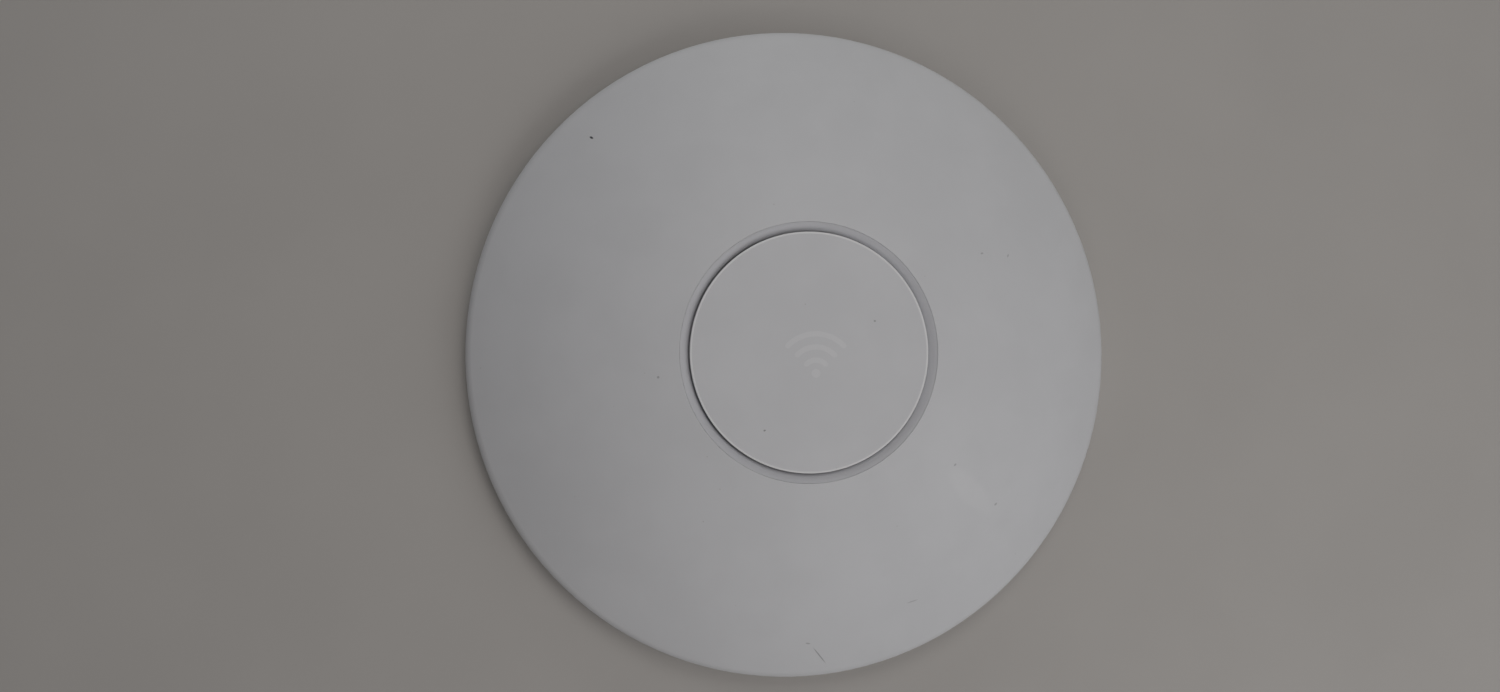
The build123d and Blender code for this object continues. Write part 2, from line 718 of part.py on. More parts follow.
contact_root = mouth_high + 1.3
contact_tip = mouth_high - 2.3
contact_outline = [
    (-33.5, contact_root), (-34.5, contact_root), (-43.4, contact_tip + 0.4), (-43.4, contact_tip),
    (-43.0, contact_tip + 0.1), (-34.4, contact_root - 0.4), (-33.5, contact_root - 0.4),
    (-33.5, contact_root),
]
with BuildPart() as jack_contacts:
    for index in range(contact_count):
        contact_x = (index - (contact_count - 1) / 2) * contact_pitch
        with BuildSketch(Plane.YZ.offset(contact_x)):
            with BuildLine():
                Polyline(*contact_outline)
            make_face()
        extrude(amount=contact_half_width, both=True)
save(jack_contacts, "jack_contacts")

# ------------------------------------------------------------------ power and Ethernet parts, above
magnetics_middle = (-14.5, -44)
magnetics_width = 9.0
magnetics_depth = 13.5
magnetics_bottom = board_top + 0.3
magnetics_top = board_top + 5.6
lead_span = 10.4
lead_pitch = 1.6
leads_a_side = 8
lead_length = 1.6
lead_width = 0.6
lead_height = 0.5
with BuildPart() as ethernet_magnetics:
    blocks(magnetics_bottom, magnetics_top, magnetics_width, magnetics_depth, [magnetics_middle], 0.4)
    with BuildSketch(Plane.XY.offset(board_top)):
        with Locations(magnetics_middle):
            with GridLocations(lead_span, lead_pitch, 2, leads_a_side):
                Rectangle(lead_length, lead_width)
    extrude(amount=lead_height)
save(ethernet_magnetics, "ethernet_magnetics")

interface_chip_size = 8.0
interface_chip_middle = (-33.5, -15.5)
with BuildPart() as ethernet_interface_chip:
    blocks(board_top, board_top + chip_height, interface_chip_size, interface_chip_size,
           [interface_chip_middle], 0.3)
save(ethernet_interface_chip, "ethernet_interface_chip")

bobbin_foot = board_top + 1.6
bobbin_flange = board_top + 7.4
bobbin_top = board_top + 8.6
core_bottom = board_top + 1.8
core_top = board_top + 10.2
core_yoke = 1.5
winding_corner = 3.0
transformer_corner = 0.6
with BuildPart() as transformer_bobbin:
    slab(board_top, bobbin_foot, (19.5, 35.5), (-54.0, -40.5), transformer_corner)
    slab(bobbin_foot, bobbin_flange, (22.5, 32.5), (-52.0, -42.5), winding_corner)
    slab(bobbin_flange, bobbin_top, (21.5, 33.5), (-53.0, -41.5), transformer_corner)
save(transformer_bobbin, "transformer_bobbin")

with BuildPart() as transformer_core:
    slab(core_bottom, core_top, (20.0, 35.0), (-50.75, -43.75), transformer_corner)
    slab(core_bottom, core_top - core_yoke, (21.4, 33.6), (-54.0, -40.0), mode=Mode.SUBTRACT)
save(transformer_core, "transformer_core")

capacitor_points = [(-26, -44), (-37.5, -46)]
capacitor_foot = board_top + 0.9
capacitor_neck = board_top + 2.2
capacitor_radius = 4.0
capacitor_base_size = 8.3
neck_depth = 0.25
with BuildPart() as electrolytic_capacitors:
    discs(capacitor_foot, core_top, capacitor_radius, capacitor_points)
    top_edges = electrolytic_capacitors.edges().filter_by(GeomType.CIRCLE).group_by(Axis.Z)[-1]
    fillet(top_edges, 0.5)
    blocks(board_top, capacitor_foot, capacitor_base_size, capacitor_base_size, capacitor_points, 0.8)
    with BuildSketch(Plane.XY.offset(capacitor_neck)):
        with Locations(*capacitor_points):
            Circle(capacitor_radius + 0.3)
            Circle(capacitor_radius - neck_depth, mode=Mode.SUBTRACT)
    extrude(amount=2 * neck_depth, mode=Mode.SUBTRACT)
save(electrolytic_capacitors, "electrolytic_capacitors")

inductor_points = [(33, -20), (43, -20), (53, -17)]
inductor_size = 7.2
inductor_corner = 1.2
inductor_top = board_top + 4.2
inductor_dimple_radius = 2.4
inductor_dimple_depth = 0.5
with BuildPart() as power_inductors:
    blocks(board_top, inductor_top, inductor_size, inductor_size, inductor_points, inductor_corner)
    discs(inductor_top - inductor_dimple_depth, inductor_top, inductor_dimple_radius, inductor_points,
          Mode.SUBTRACT)
save(power_inductors, "power_inductors")

# ------------------------------------------------------------------ reset switch
switch_x = (reset_x - switch_half_width, reset_x + switch_half_width)
with BuildPart() as reset_switch_body:
    slab(board_top, board_top + switch_height, switch_x, (switch_back, switch_front), 0.3)
    with BuildSketch(Plane.XZ.offset(-switch_front)):
        with Locations((reset_x, reset_z)):
            Circle(reset_hole_radius)
    extrude(amount=switch_bore_depth, mode=Mode.SUBTRACT)
save(reset_switch_body, "reset_switch_body")

with BuildPart() as reset_stem:
    with BuildSketch(Plane.XZ.offset(-reset_stem_front)):
        with Locations((reset_x, reset_z)):
            Circle(reset_stem_radius)
    extrude(amount=reset_stem_length)
    stem_tip = reset_stem.edges().filter_by(GeomType.CIRCLE).group_by(Axis.Y)[-1]
    fillet(stem_tip, reset_stem_fillet)
save(reset_stem, "reset_stem")

# ------------------------------------------------------------------ antennas, one build for each angle
carrier_top = antenna_base + antenna_base_thickness
inner_edge = antenna_radius - antenna_depth / 2
leg_x = inner_edge + antenna_margin / 2 + antenna_sheet / 2
slot_long = ((antenna_radius + 1.5, 0), 2.0, 13.0)
slot_short = ((antenna_radius - 2.6, -2.0), 1.2, 9.0)
coax_start_height = antenna_top + antenna_sheet + coax_radius + 0.05
coax_route = [
    (76.5, 5.0, coax_start_height),
    (71.5, 4.8, coax_start_height + 0.1),
    (66.5, 3.6, 14.7),
    (62.3, 0.8, 14.9),
    (59.6, -3.0, 14.5),
    (57.2, -6.3, coax_axis_height + 0.05),
    (55.0, -8.2, coax_axis_height),
]
coax_arc_radii = cord_radii(coax_route)
print("coax arc radii", [round(r, 1) for r in coax_arc_radii])

for letter, angle in antenna_angles.items():
    with BuildPart() as antenna_carrier:
        with BuildSketch(Plane.XY.offset(antenna_base).rotated((0, 0, angle))):
            with Locations((antenna_radius, 0)):
                RectangleRounded(antenna_depth, antenna_width, carrier_corner)
            with Locations((antenna_radius, -antenna_screw_offset), (antenna_radius, antenna_screw_offset)):
                Circle(carrier_hole_radius, mode=Mode.SUBTRACT)
        extrude(amount=antenna_base_thickness)
        with BuildSketch(Plane.XY.offset(carrier_top).rotated((0, 0, angle))):
            with Locations((antenna_radius, 0)):
                Rectangle(carrier_web_width, carrier_web_length)
            with Locations(*[(antenna_radius, offset) for offset in carrier_rib_offsets]):
                Rectangle(antenna_depth - 1.4, carrier_rib_width)
        extrude(amount=antenna_top - carrier_top)
    save(antenna_carrier, f"antenna_carrier_{letter}")

    with BuildPart() as antenna_element:
        with BuildSketch(Plane.XY.offset(antenna_top).rotated((0, 0, angle))):
            with Locations((antenna_radius, 0)):
                Rectangle(antenna_depth - antenna_margin, antenna_length)
            for middle, width, length in (slot_long, slot_short):
                with Locations(middle):
                    Rectangle(width, length, mode=Mode.SUBTRACT)
        extrude(amount=antenna_sheet)
        with BuildSketch(Plane.XY.offset(carrier_top).rotated((0, 0, angle))):
            with Locations((leg_x, -antenna_leg_offset), (leg_x, antenna_leg_offset)):
                Rectangle(antenna_sheet, antenna_leg_width)
        extrude(amount=antenna_top - carrier_top)
    save(antenna_element, f"antenna_element_{letter}")

    with BuildPart() as antenna_coax:
        with BuildLine(Plane.XY.rotated((0, 0, angle))) as route:
            FilletPolyline(*coax_route, radius=coax_arc_radii)
        path = route.wires()[0]
        with BuildSketch(Plane(origin=path @ 0, z_dir=path % 0)):
            Circle(coax_radius)
        sweep(path=path)
    volume_ratio = antenna_coax.part.volume / (path.length * pi * coax_radius**2)
    print(letter, "coax length", round(path.length, 1), "volume ratio", round(volume_ratio, 3))
    save(antenna_coax, f"antenna_coax_{letter}")

# ------------------------------------------------------------------ coax plugs and board sockets
socket_base_height = 0.35
socket_height = 1.1
plug_bottom = board_top + 0.5
plug_top = board_top + 2.2
plug_cavity = 0.8
socket_size = 3.0
socket_pin_radius = 1.0
plug_radius = 1.6
plug_cavity_radius = 1.1
with BuildPart() as coax_sockets:
    for angle in antenna_angles.values():
        with BuildSketch(Plane.XY.offset(board_top).rotated((0, 0, angle))):
            with Locations(coax_plug_middle):
                Rectangle(socket_size, socket_size)
        extrude(amount=socket_base_height)
    discs(board_top + socket_base_height, board_top + socket_height, socket_pin_radius, coax_plug_points)
save(coax_sockets, "coax_sockets")

with BuildPart() as coax_plugs:
    discs(plug_bottom, plug_top, plug_radius, coax_plug_points)
    discs(plug_bottom, plug_bottom + plug_cavity, plug_cavity_radius, coax_plug_points, Mode.SUBTRACT)
save(coax_plugs, "coax_plugs")
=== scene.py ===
import json
import math
import random

import bmesh
import bpy
from mathutils import Matrix, Vector
from mathutils.bvhtree import BVHTree


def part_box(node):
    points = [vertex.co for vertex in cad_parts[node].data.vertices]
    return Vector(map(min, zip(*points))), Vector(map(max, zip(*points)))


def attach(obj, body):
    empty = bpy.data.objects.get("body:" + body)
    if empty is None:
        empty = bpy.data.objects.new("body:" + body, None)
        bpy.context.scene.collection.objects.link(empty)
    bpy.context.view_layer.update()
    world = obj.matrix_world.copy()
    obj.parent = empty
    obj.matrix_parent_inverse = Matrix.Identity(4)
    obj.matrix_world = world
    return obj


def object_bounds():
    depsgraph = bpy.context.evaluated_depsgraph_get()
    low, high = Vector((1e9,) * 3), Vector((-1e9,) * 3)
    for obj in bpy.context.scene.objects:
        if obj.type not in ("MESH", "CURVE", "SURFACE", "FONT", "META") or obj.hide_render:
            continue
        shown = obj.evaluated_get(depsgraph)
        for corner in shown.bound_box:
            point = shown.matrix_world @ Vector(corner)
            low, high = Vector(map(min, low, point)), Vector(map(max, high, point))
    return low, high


# Looks of a round ceiling access point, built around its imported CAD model. Metres, the CAD's own frame:
# +Z leaves the ceiling through the crown of the dome. Here it lies on a floor, dome up.

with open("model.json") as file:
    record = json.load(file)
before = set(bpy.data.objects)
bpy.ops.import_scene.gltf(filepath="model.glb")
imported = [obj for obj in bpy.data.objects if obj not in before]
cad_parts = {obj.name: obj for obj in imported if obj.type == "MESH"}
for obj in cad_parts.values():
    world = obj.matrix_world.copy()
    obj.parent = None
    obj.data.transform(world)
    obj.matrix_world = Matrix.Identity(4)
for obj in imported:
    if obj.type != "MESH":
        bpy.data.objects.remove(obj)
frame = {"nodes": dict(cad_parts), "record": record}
cad_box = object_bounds()
nodes = frame["nodes"]
MM = 0.001
ACCESS_POINT = "access_point"
NOISE_LOW, NOISE_HIGH = 0.3, 0.7


# ------------------------------------------------------------------ node materials
class Paint:
    """One Principled material. Uniform numbers sit on the shader itself, patterns are wired to it."""

    def __init__(self, name, **uniform):
        self.material = bpy.data.materials.new(name)
        self.material.use_nodes = True
        self.tree = self.material.node_tree
        self.shader = self.tree.nodes["Principled BSDF"]
        for socket, value in uniform.items():
            self.shader.inputs[socket.replace("_", " ")].default_value = value
        self.place = self.add("ShaderNodeTexCoord").outputs["Object"]

    def add(self, kind, wires=None, **settings):
        """A node of a kind, with its settings and its inputs wired or set."""
        node = self.tree.nodes.new(kind)
        for key, value in settings.items():
            setattr(node, key, value)
        for socket, value in (wires or {}).items():
            if isinstance(value, bpy.types.NodeSocket):
                self.tree.links.new(value, node.inputs[socket])
            else:
                node.inputs[socket].default_value = value
        return node

    def wire(self, socket, value):
        """Wires a pattern to one input of the shader."""
        self.tree.links.new(value, self.shader.inputs[socket])

    def stretched(self, stretch):
        """The object's coordinates with each axis scaled."""
        return self.add("ShaderNodeVectorMath", {0: self.place, 1: stretch}, operation="MULTIPLY").outputs[0]

    def noise(self, size, detail=3.0, stretch=None):
        """Cloudy pattern from 0 to 1 whose features are about the given size."""
        vector = self.place if stretch is None else self.stretched(stretch)
        wires = {"Vector": vector, "Scale": 1.0 / size, "Detail": detail, "Roughness": 0.55}
        return self.add("ShaderNodeTexNoise", wires).outputs[0]

    def cells(self, size, metric="EUCLIDEAN", scatter=1.0):
        """Distance, in sizes, from points about one size apart, on a square grid when scatter is 0."""
        wires = {"Vector": self.place, "Scale": 1.0 / size, "Randomness": scatter}
        return self.add("ShaderNodeTexVoronoi", wires, distance=metric).outputs["Distance"]

    def ramp(self, value, low, high, to_low=0.0, to_high=1.0):
        """Carries a range of values smoothly to another one and holds it beyond both ends."""
        wires = {0: value, 1: low, 2: high, 3: to_low, 4: to_high}
        return self.add("ShaderNodeMapRange", wires, interpolation_type="SMOOTHSTEP").outputs[0]

    def calculate(self, operation, first, second=0.0):
        """Arithmetic of one or two numbers."""
        return self.add("ShaderNodeMath", {0: first, 1: second}, operation=operation).outputs[0]

    def mix(self, factor, first, second, blend="MIX"):
        """Mixes two colours."""
        wires = {0: factor, 6: first, 7: second}
        return self.add("ShaderNodeMix", wires, data_type="RGBA", blend_type=blend).outputs[2]

    def spread(self, pattern, low, high):
        """Spreads a noise, most of which lies between NOISE_LOW and NOISE_HIGH, over another range."""
        return self.ramp(pattern, NOISE_LOW, NOISE_HIGH, low, high)

    def tint(self, colour, low, high, pattern):
        """A colour made darker and lighter by a pattern, between two factors."""
        return self.mix(1.0, rgba(colour), self.spread(pattern, low, high), "MULTIPLY")

    def radius(self):
        """Distance from the object's axis."""
        flat = self.stretched((1.0, 1.0, 0.0))
        return self.add("ShaderNodeVectorMath", {0: flat}, operation="LENGTH").outputs["Value"]

    def mark(self, centre, half_length, half_width, turn_deg):
        """1 inside a small ellipse seen from above, 0 outside it, with a soft edge over half its size."""
        any_height = 10.0
        wires = {
            "Vector": self.place, "Location": (*centre, 0.0), "Rotation": (0, 0, math.radians(turn_deg)),
            "Scale": (half_length, half_width, any_height),
        }
        moved = self.add("ShaderNodeMapping", wires, vector_type="TEXTURE").outputs[0]
        away = self.add("ShaderNodeVectorMath", {0: moved}, operation="LENGTH").outputs["Value"]
        return self.ramp(away, 0.5, 1.0, 1.0, 0.0)

    def relief(self, height, depth, under=None):
        """Bumps of a depth, over another normal if one is given. Returns the normal."""
        wires = {"Height": height, "Distance": depth, "Strength": 1.0}
        if under is not None:
            wires["Normal"] = under
        return self.add("ShaderNodeBump", wires).outputs[0]


def rgba(colour):
    """A colour with full alpha."""
    return (*colour, 1.0)


def moulded_plastic(name, colour, roughness, grain=0.30 * MM, depth=0.006 * MM, tone=0.03, **uniform):
    """Injection moulded plastic: slow changes of tone, a fine eroded grain, handling marks in the gloss."""
    cloud_size, handled_size, wave_size = 24 * MM, 9 * MM, 7 * MM
    wave_depth = 0.010 * MM
    handled_low, handled_high = 0.35, 0.70
    polished, dulled = -0.04, 0.07
    paint = Paint(name, **uniform)
    paint.base = paint.tint(colour, 1.0 - tone, 1.0 + tone, paint.noise(cloud_size))
    paint.wire("Base Color", paint.base)
    handled = paint.noise(handled_size, 5.0)
    gloss = paint.ramp(handled, handled_low, handled_high, roughness + polished, roughness + dulled)
    paint.wire("Roughness", gloss)
    waves = paint.relief(paint.noise(wave_size, 1.0), wave_depth)
    paint.wire("Normal", paint.relief(paint.noise(grain, 2.0), depth, waves))
    return paint


def sheet_metal(name, colour, roughness, stretch=(1, 1, 1), streak=0.5 * MM, tone=0.08, swing=0.09):
    """Plated or drawn metal: stains in the plating, streaks or mottling in the gloss, shallow dents."""
    stain_size = 5 * MM
    dent_depth = 0.03 * MM * swing
    paint = Paint(name, Metallic=1.0)
    paint.wire("Base Color", paint.tint(colour, 1.0 - tone, 1.0 + tone, paint.noise(stain_size, 4.0)))
    marks = paint.noise(streak, 4.0, stretch)
    paint.wire("Roughness", paint.spread(marks, roughness - swing, roughness + swing))
    paint.wire("Normal", paint.relief(marks, dent_depth))
    return paint


def dome_plastic():
    """Satin white shell plastic: specks and small scratches of use, a painted sheen patch, and a painted
    highlight that brightens the cap's edge.
    """
    speck_spacing, speck_core, speck_edge = 9 * MM, 0.018, 0.028
    speck_colour, speck_strength = (0.30, 0.29, 0.28), 0.25
    # Painted highlight: a lighter colour in a thin band round the cap's rounded edge, standing in for light
    # glinting there.
    highlight_colour = (0.92, 0.925, 0.93)
    highlight_start, highlight_full, highlight_end, cap_end = -0.70 * MM, -0.35 * MM, 0.2 * MM, 0.4 * MM
    paint = moulded_plastic("dome_plastic", (0.735, 0.742, 0.758), 0.54, tone=0.018)
    base = paint.base
    # Dark specks and scratches of use, and one lighter patch of painted sheen.
    for centre, half_length, half_width, turn, colour, strength in SHELL_MARKS_AND_SHEEN:
        spot = paint.mark([c * MM for c in centre], half_length * MM, half_width * MM, turn)
        base = paint.mix(paint.calculate("MULTIPLY", spot, strength), base, rgba(colour))
    specks = paint.ramp(paint.cells(speck_spacing), speck_core, speck_edge, speck_strength, 0.0)
    base = paint.mix(specks, base, rgba(speck_colour))
    # Painted highlight band: from just inside the cap's edge to just past it, mixed towards a near white.
    cap_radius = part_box("centre_cap")[1].x
    near_edge = paint.ramp(paint.radius(), cap_radius + highlight_start, cap_radius + highlight_full)
    on_cap = paint.ramp(paint.radius(), cap_radius + highlight_end, cap_radius + cap_end, 1.0, 0.0)
    painted_highlight = paint.calculate("MULTIPLY", near_edge, on_cap)
    paint.wire("Base Color", paint.mix(painted_highlight, base, rgba(highlight_colour)))
    return paint


# Marks of use on the shell, the last of them a painted sheen patch: middle, half length and half width in
# mm, turn in degrees, colour, strength.
SHELL_MARKS_AND_SHEEN = [
    ((-61.6, 63.0), 0.75, 0.42, -35, (0.02, 0.02, 0.03), 0.95),
    ((6.4, -90.6), 4.3, 0.22, -52, (0.22, 0.22, 0.23), 0.60),
    ((2.4, -86.2), 0.9, 0.30, -10, (0.30, 0.30, 0.31), 0.50),
    ((-13.2, -21.9), 0.45, 0.30, 20, (0.20, 0.20, 0.20), 0.70),
    ((18.3, 8.9), 0.42, 0.32, 0, (0.25, 0.25, 0.25), 0.60),
    ((52.2, 29.2), 0.60, 0.35, 10, (0.32, 0.32, 0.33), 0.50),
    ((61.2, 28.9), 0.70, 0.35, 60, (0.35, 0.35, 0.36), 0.45),
    ((-42.8, -7.0), 0.45, 0.45, 0, (0.28, 0.28, 0.29), 0.55),
    ((43.3, -32.5), 0.60, 0.35, 40, (0.32, 0.32, 0.33), 0.50),
    ((58.0, -45.0), 0.70, 0.40, 40, (0.32, 0.32, 0.33), 0.50),
    ((33.5, -74.0), 2.20, 0.28, 15, (0.35, 0.35, 0.36), 0.40),
    # Painted sheen: a large faint lighter patch where a soft reflection lies on the shell, not a mark of
    # use.
    ((49.0, -40.5), 12.0, 4.50, -42, (0.92, 0.925, 0.93), 0.13),
]


def light_guide():
    """Milky translucent plastic of the light ring."""
    return moulded_plastic(
        "light_guide", (0.645, 0.65, 0.675), 0.50, depth=0.002 * MM, tone=0.015, Specular_IOR_Level=0.35,
        Subsurface_Weight=0.10, Subsurface_Radius=(0.9, 0.9, 1.0), Subsurface_Scale=0.8 * MM,
    )


def clear_acrylic():
    """Clear light pipe plastic."""
    paint = Paint("clear_acrylic", Transmission_Weight=0.92, IOR=1.49)
    paint.wire("Base Color", paint.tint((0.90, 0.93, 0.94), 0.96, 1.0, paint.noise(2 * MM)))
    paint.wire("Roughness", paint.spread(paint.noise(0.5 * MM), 0.05, 0.18))
    paint.wire("Normal", paint.relief(paint.noise(1.5 * MM), 0.004 * MM))
    return paint


def label_paper():
    """Blank adhesive label: fibres, a faint thumb mark in its gloss."""
    paint = Paint("label_paper", Specular_IOR_Level=0.35)
    fibres = paint.noise(0.4 * MM, 5.0, (1, 3, 1))
    paint.wire("Base Color", paint.tint((0.80, 0.80, 0.77), 0.96, 1.02, fibres))
    paint.wire("Roughness", paint.spread(paint.noise(8 * MM), 0.50, 0.72))
    paint.wire("Normal", paint.relief(paint.noise(0.15 * MM, 4.0), 0.006 * MM))
    return paint


def circuit_board():
    """Green solder mask over bundles of tracks, tinned through holes, bare laminate on the cut edges."""
    bundle_size, lanes_per_bundle = 13 * MM, 16.0
    track_flat, track_edge = 0.16, 0.24
    bare_below, routed_above = 0.44, 0.50
    hole_spacing, pad_flat, pad_edge, hole_flat, hole_edge = 3.2 * MM, 0.095, 0.11, 0.045, 0.055
    upright_below, level_above = 0.4, 0.6
    paint = Paint("circuit_board", Coat_Weight=0.25, Coat_Roughness=0.2)
    lanes = paint.calculate("MULTIPLY", paint.cells(bundle_size, "CHEBYCHEV", scatter=0.8), lanes_per_bundle)
    beside = paint.calculate("SUBTRACT", paint.calculate("MODULO", lanes, 1.0), 0.5)
    track = paint.ramp(paint.calculate("ABSOLUTE", beside), track_flat, track_edge, 1.0, 0.0)
    routed = paint.ramp(paint.noise(16 * MM, 1.0), bare_below, routed_above)
    track = paint.calculate("MULTIPLY", track, routed)
    mask = paint.tint((0.020, 0.105, 0.055), 0.85, 1.15, paint.noise(10 * MM))
    base = paint.mix(track, mask, rgba((0.035, 0.200, 0.095)))
    hole = paint.cells(hole_spacing)
    base = paint.mix(paint.ramp(hole, pad_flat, pad_edge, 1.0, 0.0), base, rgba((0.62, 0.60, 0.52)))
    base = paint.mix(paint.ramp(hole, hole_flat, hole_edge, 1.0, 0.0), base, rgba((0.02, 0.02, 0.02)))
    facing = paint.add("ShaderNodeSeparateXYZ", {0: paint.add("ShaderNodeNewGeometry").outputs["Normal"]})
    level = paint.calculate("ABSOLUTE", facing.outputs["Z"])
    edge = paint.ramp(level, upright_below, level_above, 1.0, 0.0)
    laminate = paint.tint((0.52, 0.45, 0.26), 0.80, 1.10, paint.noise(0.3 * MM, 3.0, (1, 1, 6)))
    paint.wire("Base Color", paint.mix(edge, base, laminate))
    paint.wire("Roughness", paint.spread(paint.noise(4 * MM, 4.0), 0.26, 0.42))
    paint.wire("Normal", paint.relief(track, 0.03 * MM))
    return paint


def chip_black(name="chip_black", colour=(0.030, 0.030, 0.033)):
    """Moulded epoxy package: fine matt grain with a few glossier patches."""
    return moulded_plastic(name, colour, 0.58, grain=0.08 * MM, depth=0.006 * MM, tone=0.12)


def ferrite():
    """Sintered ferrite: dark grey with pits and lighter rubbed places."""
    pit_spacing, pit_floor, pit_rim = 0.45 * MM, 0.10, 0.35
    paint = Paint("ferrite")
    pits = paint.ramp(paint.cells(pit_spacing), pit_floor, pit_rim)
    base = paint.tint((0.085, 0.085, 0.090), 0.7, 1.35, paint.noise(1.2 * MM, 5.0))
    paint.wire("Base Color", paint.mix(pits, rgba((0.03, 0.03, 0.03)), base))
    paint.wire("Roughness", paint.spread(paint.noise(2 * MM, 4.0), 0.42, 0.66))
    paint.wire("Normal", paint.relief(pits, 0.02 * MM))
    return paint


def bobbin_plastic():
    """Black bobbin with yellow polyester tape wound round its middle."""
    tape_start, tape_end, tape_edge = 1.65 * MM, 7.35 * MM, 0.02 * MM
    paint = moulded_plastic("bobbin_plastic", (0.035, 0.035, 0.035), 0.50, tone=0.1)
    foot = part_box("transformer_bobbin")[0].z
    tape_low, tape_high = foot + tape_start, foot + tape_end
    height = paint.add("ShaderNodeSeparateXYZ", {0: paint.place}).outputs["Z"]
    above = paint.ramp(height, tape_low - tape_edge, tape_low)
    below = paint.ramp(height, tape_high, tape_high + tape_edge, 1.0, 0.0)
    turns = paint.noise(0.6 * MM, 2.0, (0.2, 0.2, 1.0))
    tape = paint.tint((0.72, 0.52, 0.07), 0.85, 1.08, turns)
    paint.wire("Base Color", paint.mix(paint.calculate("MULTIPLY", above, below), paint.base, tape))
    return paint


def capacitor_sleeve():
    """Bare aluminium can with fine drawing lines round it."""
    return sheet_metal("capacitor_sleeve", (0.72, 0.72, 0.73), 0.30, (0.15, 0.15, 3.0), 0.4 * MM, 0.05)


def led_lens():
    """White LED package with its yellow phosphor window."""
    window_start, window_full, window_strength = -0.06 * MM, -0.02 * MM, 0.9
    paint = moulded_plastic("led_lens", (0.80, 0.79, 0.74), 0.35, tone=0.02)
    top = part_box("status_leds")[1].z
    height = paint.add("ShaderNodeSeparateXYZ", {0: paint.place}).outputs["Z"]
    window = paint.ramp(height, top + window_start, top + window_full)
    phosphor = paint.tint((0.82, 0.66, 0.16), 0.9, 1.08, paint.noise(0.3 * MM))
    shown = paint.calculate("MULTIPLY", window, window_strength)
    paint.wire("Base Color", paint.mix(shown, paint.base, phosphor))
    return paint


def pad_silicone():
    """Soft thermal pad: dull blue grey with the print of its woven liner."""
    paint = Paint("pad_silicone", Specular_IOR_Level=0.3)
    weave = paint.cells(0.5 * MM, "CHEBYCHEV", scatter=0.0)
    paint.wire("Base Color", paint.tint((0.36, 0.47, 0.54), 0.93, 1.05, paint.noise(1.5 * MM)))
    paint.wire("Roughness", paint.spread(paint.noise(3 * MM), 0.70, 0.88))
    paint.wire("Normal", paint.relief(weave, 0.03 * MM))
    return paint


SLOT_PAINTS = {
    "dome_plastic": dome_plastic(),
    "housing_plastic": moulded_plastic("housing_plastic", (0.70, 0.705, 0.715), 0.52, 0.45 * MM, 0.02 * MM),
    "bracket_plastic": moulded_plastic("bracket_plastic", (0.66, 0.665, 0.675), 0.55, 0.45 * MM, 0.02 * MM),
    "light_guide": light_guide(),
    "clear_acrylic": clear_acrylic(),
    "screw_steel": sheet_metal(
        "screw_steel", (0.56, 0.56, 0.58), 0.30, streak=0.25 * MM, tone=0.05, swing=0.05),
    "label_paper": label_paper(),
    "circuit_board": circuit_board(),
    "aluminium": sheet_metal("aluminium", (0.74, 0.75, 0.76), 0.34, (0.06, 1.0, 1.0), 0.20 * MM, 0.05),
    "chip_black": chip_black(),
    "pad_silicone": pad_silicone(),
    "tinned_steel": sheet_metal(
        "tinned_steel", (0.66, 0.65, 0.62), 0.30, streak=0.8 * MM, tone=0.05, swing=0.05),
    "crystal_can": sheet_metal("crystal_can", (0.70, 0.69, 0.66), 0.24, streak=0.4 * MM),
    "jack_plastic": moulded_plastic("jack_plastic", (0.028, 0.028, 0.030), 0.48, 0.2 * MM, tone=0.1),
    "gold_contacts": sheet_metal("gold_contacts", (0.86, 0.62, 0.24), 0.20, streak=0.3 * MM, tone=0.05),
    "bobbin_plastic": bobbin_plastic(),
    "ferrite": ferrite(),
    "capacitor_sleeve": capacitor_sleeve(),
    "led_lens": led_lens(),
    "switch_plastic": moulded_plastic("switch_plastic", (0.045, 0.045, 0.047), 0.50, 0.15 * MM, tone=0.1),
    "switch_stem": moulded_plastic("switch_stem", (0.42, 0.05, 0.04), 0.40, 0.15 * MM, tone=0.05),
    "carrier_plastic": moulded_plastic("carrier_plastic", (0.060, 0.060, 0.065), 0.52, 0.25 * MM, tone=0.1),
    "antenna_metal": sheet_metal(
        "antenna_metal", (0.68, 0.66, 0.60), 0.28, (1.0, 0.1, 1.0), 0.25 * MM, tone=0.03, swing=0.04),
    "coax_jacket": moulded_plastic("coax_jacket", (0.050, 0.050, 0.055), 0.34, 0.3 * MM, tone=0.08),
}
for part in frame["record"]["subparts"]:
    for material_slot in nodes[part["node"]].material_slots:
        material_slot.material = SLOT_PAINTS[part["material_slot"]].material


# ------------------------------------------------------------------ mesh helpers
def new_piece(name, mesh, paint, body=ACCESS_POINT):
    """A mesh in the row frame becomes a named piece that rides on a body."""
    piece = bpy.data.objects.new(name, mesh)
    bpy.context.scene.collection.objects.link(piece)
    mesh.materials.append(paint.material)
    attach(piece, body)
    return piece


def ray_tree(names):
    """The faces of some CAD nodes, for finding where a surface is."""
    points = []
    faces = []
    for name in names:
        mesh = nodes[name].data
        first = len(points)
        points.extend(vertex.co.copy() for vertex in mesh.vertices)
        faces.extend([first + index for index in face.vertices] for face in mesh.polygons)
    return BVHTree.FromPolygons(points, faces)


def mesh_from(name, builder):
    """Finishes a bmesh as a mesh with its faces turned outwards."""
    bmesh.ops.recalc_face_normals(builder, faces=builder.faces)
    mesh = bpy.data.meshes.new(name)
    builder.to_mesh(mesh)
    builder.free()
    return mesh


# ------------------------------------------------------------------ generic signal mark on the cap
MARK_MIDDLE = (1.3 * MM, -5.9 * MM)
MARK_RADII = (3.7 * MM, 7.4 * MM, 11.1 * MM)
MARK_HALF_WIDTH = 0.75 * MM
MARK_DOT_RADIUS = 1.25 * MM
MARK_HALF_ANGLE = math.radians(46)
INK_HEIGHT = 0.012 * MM
INK_STEP = 0.35 * MM
INK_TIP_HALF_WIDTH = 0.01 * MM
ROUND_STEPS = 8
ACROSS_STEPS = 4


